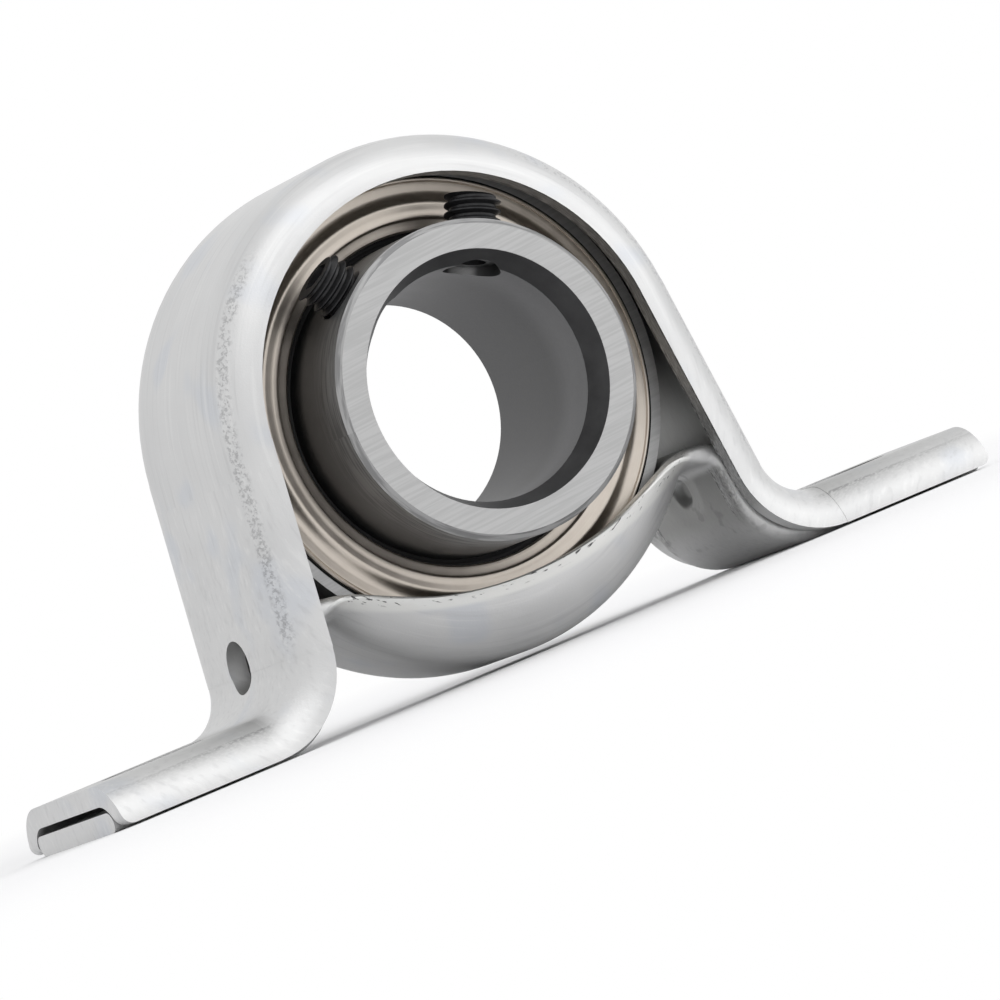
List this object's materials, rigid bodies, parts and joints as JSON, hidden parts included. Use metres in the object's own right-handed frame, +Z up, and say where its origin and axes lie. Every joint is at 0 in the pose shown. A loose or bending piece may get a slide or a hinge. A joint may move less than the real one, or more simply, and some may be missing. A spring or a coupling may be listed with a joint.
{
  "type": "pillow block bearing",
  "caption": "Two-piece pressed-steel pillow block with a sealed, self-aligning insert ball bearing locked to the shaft by radial set screws.",
  "frame": {"origin": "midway between the two foot bolts on the mounting plane, straight below the shaft centre", "axes": "+X along the base from foot to foot, +Y along the shaft away from the set-screw side, +Z up from the mounting plane"},
  "size_m": [0.108, 0.0335, 0.0565],
  "materials": {
    "strap_steel": "bright zinc-coated pressed steel, satin with faint forming marks",
    "ring_steel": "ground bearing steel, bright faces and a darker bore",
    "ball_steel": "polished bearing balls",
    "cage_steel": "pressed cage sheet, plain",
    "shield_steel": "pressed sheet with a warm champagne coating, satin",
    "rubber": "matt black nitrile",
    "black_oxide": "black-oxide screw steel"
  },
  "bodies": {
    "housing": {"upper_strap": "strap_steel", "lower_strap": "strap_steel"},
    "bearing": {"outer_ring": "ring_steel", "seal_shield_front": "shield_steel", "seal_shield_back": "shield_steel", "seal_lip_front": "rubber", "seal_lip_back": "rubber"},
    "shaft_ring": {"inner_ring": "ring_steel"},
    "cage": {"cage_front": "cage_steel", "cage_back": "cage_steel", "cage_rivets": "cage_steel"},
    "ball_1": {"ball_1": "ball_steel"},
    "ball_2": {"ball_2": "ball_steel"},
    "ball_3": {"ball_3": "ball_steel"},
    "ball_4": {"ball_4": "ball_steel"},
    "ball_5": {"ball_5": "ball_steel"},
    "ball_6": {"ball_6": "ball_steel"},
    "ball_7": {"ball_7": "ball_steel"},
    "ball_8": {"ball_8": "ball_steel"},
    "ball_9": {"ball_9": "ball_steel"},
    "screw_1": {"set_screw_1": "black_oxide"},
    "screw_2": {"set_screw_2": "black_oxide"}
  },
  "joints": [
    {"name": "align_tilt", "type": "hinge", "parent": "housing", "child": "bearing", "pos_m": [0, 0, 0.0286], "axis": [1, 0, 0], "range_deg": [-2, 2]},
    {"name": "shaft_spin", "type": "hinge", "parent": "bearing", "child": "shaft_ring", "pos_m": [0, 0, 0.0286], "axis": [0, 1, 0], "continuous": true},
    {"name": "cage_orbit", "type": "hinge", "parent": "bearing", "child": "cage", "pos_m": [0, 0, 0.0286], "axis": [0, 1, 0], "continuous": true},
    {"name": "ball_1_spin", "type": "hinge", "parent": "cage", "child": "ball_1", "pos_m": [0, 0, 0.04785], "axis": [0, 1, 0], "continuous": true},
    {"name": "ball_2_spin", "type": "hinge", "parent": "cage", "child": "ball_2", "pos_m": [-0.01237, 0, 0.04335], "axis": [0, 1, 0], "continuous": true},
    {"name": "ball_3_spin", "type": "hinge", "parent": "cage", "child": "ball_3", "pos_m": [-0.01896, 0, 0.03194], "axis": [0, 1, 0], "continuous": true},
    {"name": "ball_4_spin", "type": "hinge", "parent": "cage", "child": "ball_4", "pos_m": [-0.01667, 0, 0.01897], "axis": [0, 1, 0], "continuous": true},
    {"name": "ball_5_spin", "type": "hinge", "parent": "cage", "child": "ball_5", "pos_m": [-0.00658, 0, 0.01051], "axis": [0, 1, 0], "continuous": true},
    {"name": "ball_6_spin", "type": "hinge", "parent": "cage", "child": "ball_6", "pos_m": [0.00658, 0, 0.01051], "axis": [0, 1, 0], "continuous": true},
    {"name": "ball_7_spin", "type": "hinge", "parent": "cage", "child": "ball_7", "pos_m": [0.01667, 0, 0.01897], "axis": [0, 1, 0], "continuous": true},
    {"name": "ball_8_spin", "type": "hinge", "parent": "cage", "child": "ball_8", "pos_m": [0.01896, 0, 0.03194], "axis": [0, 1, 0], "continuous": true},
    {"name": "ball_9_spin", "type": "hinge", "parent": "cage", "child": "ball_9", "pos_m": [0.01237, 0, 0.04335], "axis": [0, 1, 0], "continuous": true},
    {"name": "screw_1_travel", "type": "slide", "parent": "shaft_ring", "child": "screw_1", "axis": [0.4226, 0, 0.9063], "range_m": [-0.0032, 0]},
    {"name": "screw_2_travel", "type": "slide", "parent": "shaft_ring", "child": "screw_2", "axis": [-0.5736, 0, 0.8192], "range_m": [-0.0032, 0]}
  ],
  "couplings": [
    {"joint": "cage_orbit", "follows": "shaft_spin", "ratio": 0.39691},
    {"joint": "ball_1_spin", "follows": "shaft_spin", "ratio": -2.322},
    {"joint": "ball_2_spin", "follows": "shaft_spin", "ratio": -2.322},
    {"joint": "ball_3_spin", "follows": "shaft_spin", "ratio": -2.322},
    {"joint": "ball_4_spin", "follows": "shaft_spin", "ratio": -2.322},
    {"joint": "ball_5_spin", "follows": "shaft_spin", "ratio": -2.322},
    {"joint": "ball_6_spin", "follows": "shaft_spin", "ratio": -2.322},
    {"joint": "ball_7_spin", "follows": "shaft_spin", "ratio": -2.322},
    {"joint": "ball_8_spin", "follows": "shaft_spin", "ratio": -2.322},
    {"joint": "ball_9_spin", "follows": "shaft_spin", "ratio": -2.322}
  ]
}
